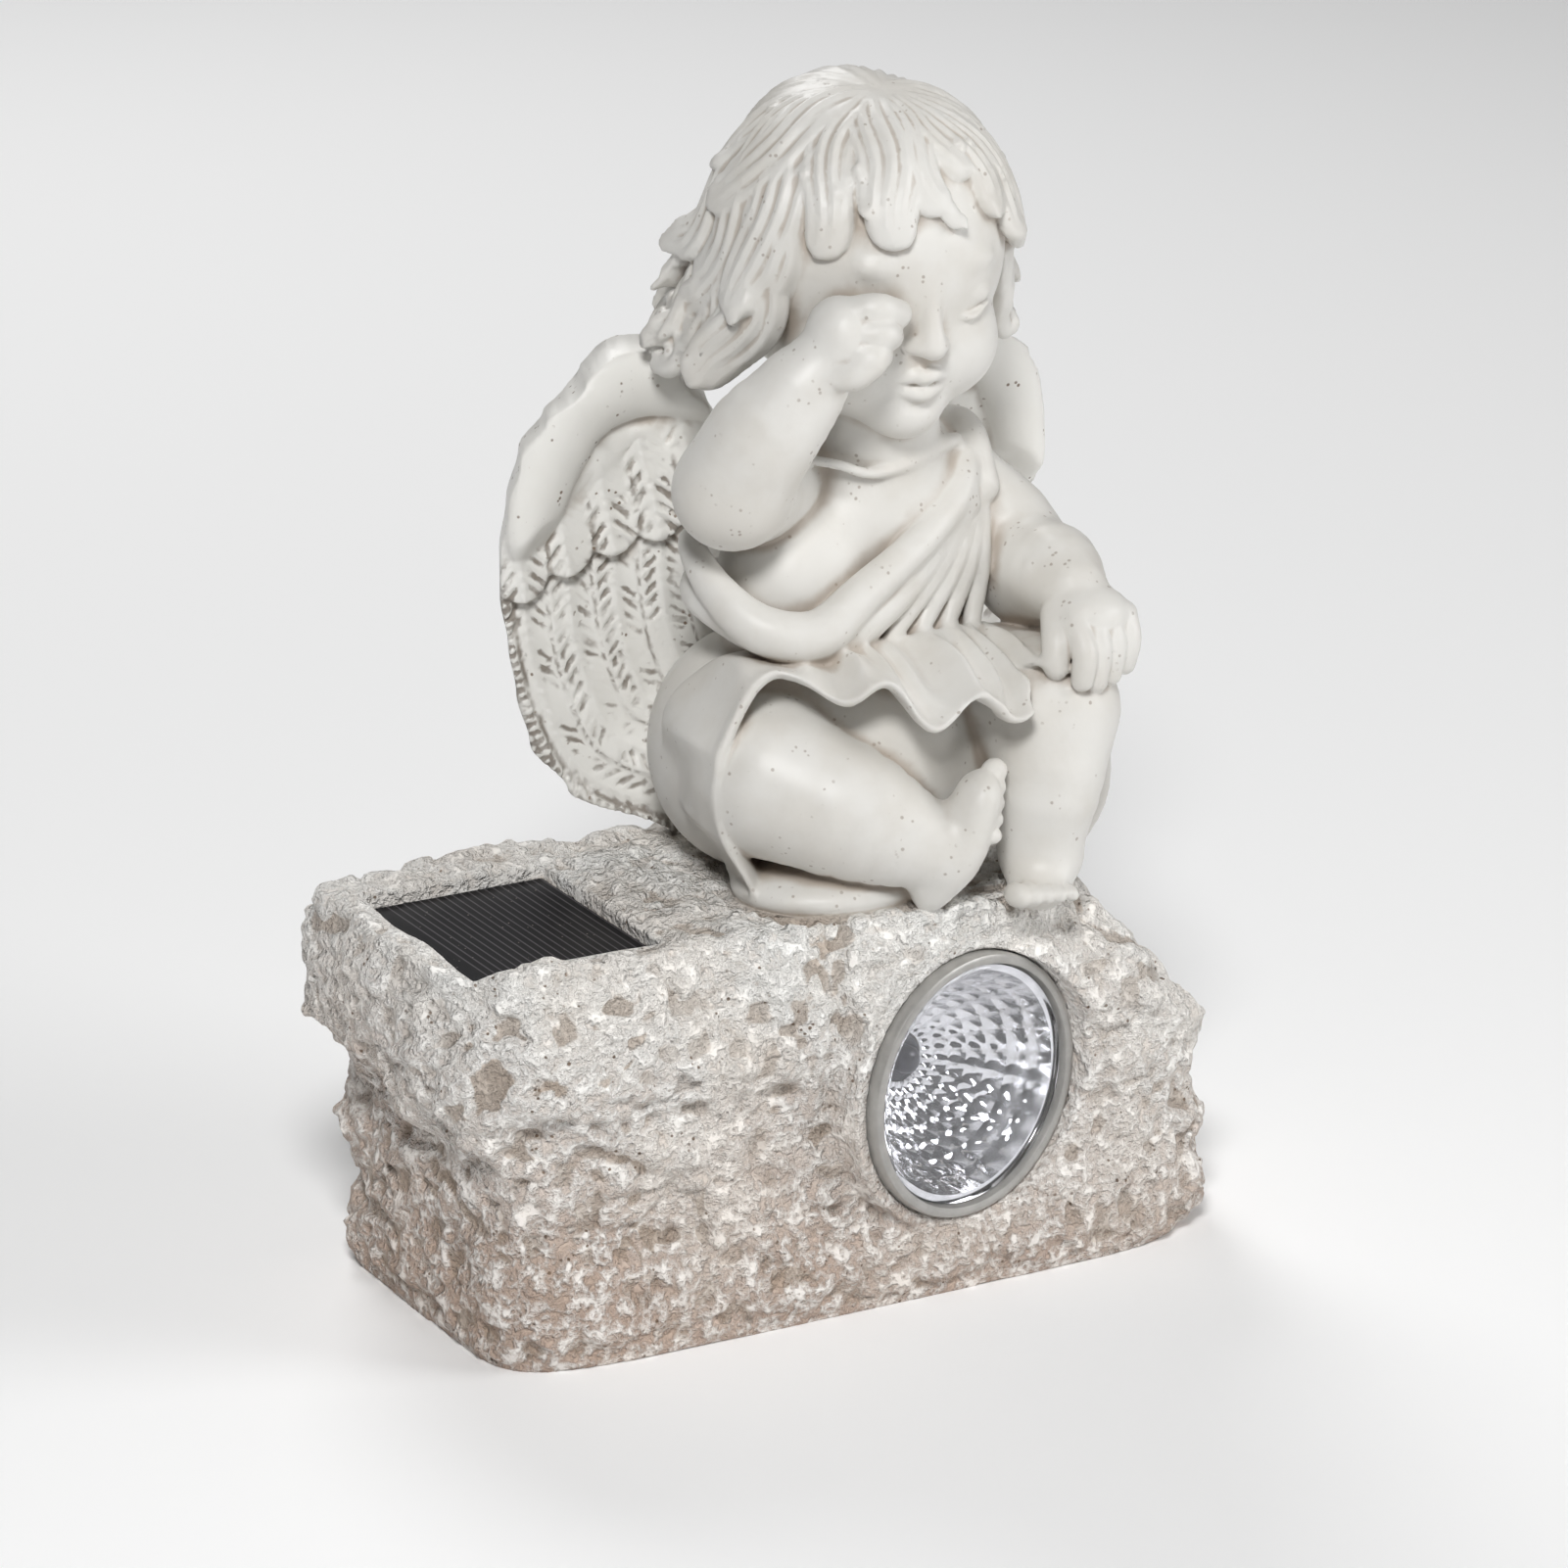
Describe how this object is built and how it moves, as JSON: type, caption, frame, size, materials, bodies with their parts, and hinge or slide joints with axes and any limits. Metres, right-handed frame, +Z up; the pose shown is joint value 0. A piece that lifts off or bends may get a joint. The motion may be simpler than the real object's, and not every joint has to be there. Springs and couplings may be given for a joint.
{
  "type": "cherub garden statue with solar lamp",
  "caption": "Pale seated winged cherub rubbing one eye on a rough rock base, with a solar cell let into its top and a round lamp in its front.",
  "frame": {"origin": "middle of the underside, at the middle of the bounding box", "axes": "+Z up from the underside to the crown of the head, -Y the way that the figure and the lamp face, +X towards the figure's left"},
  "size_m": [0.1778, 0.0992, 0.2397],
  "materials": {
    "painted_resin": "matte",
    "solar_cell": "satin",
    "lamp_rim": "satin",
    "chromed_plastic": "polished",
    "diode": "satin",
    "clear_plastic": "gloss"
  },
  "bodies": {
    "root": {"statue_casting": "painted_resin", "solar_cell": "solar_cell", "lamp_cup": "lamp_rim", "lamp_reflector": "chromed_plastic", "lamp_diode": "diode", "lamp_lens": "clear_plastic"}
  },
  "joints": []
}
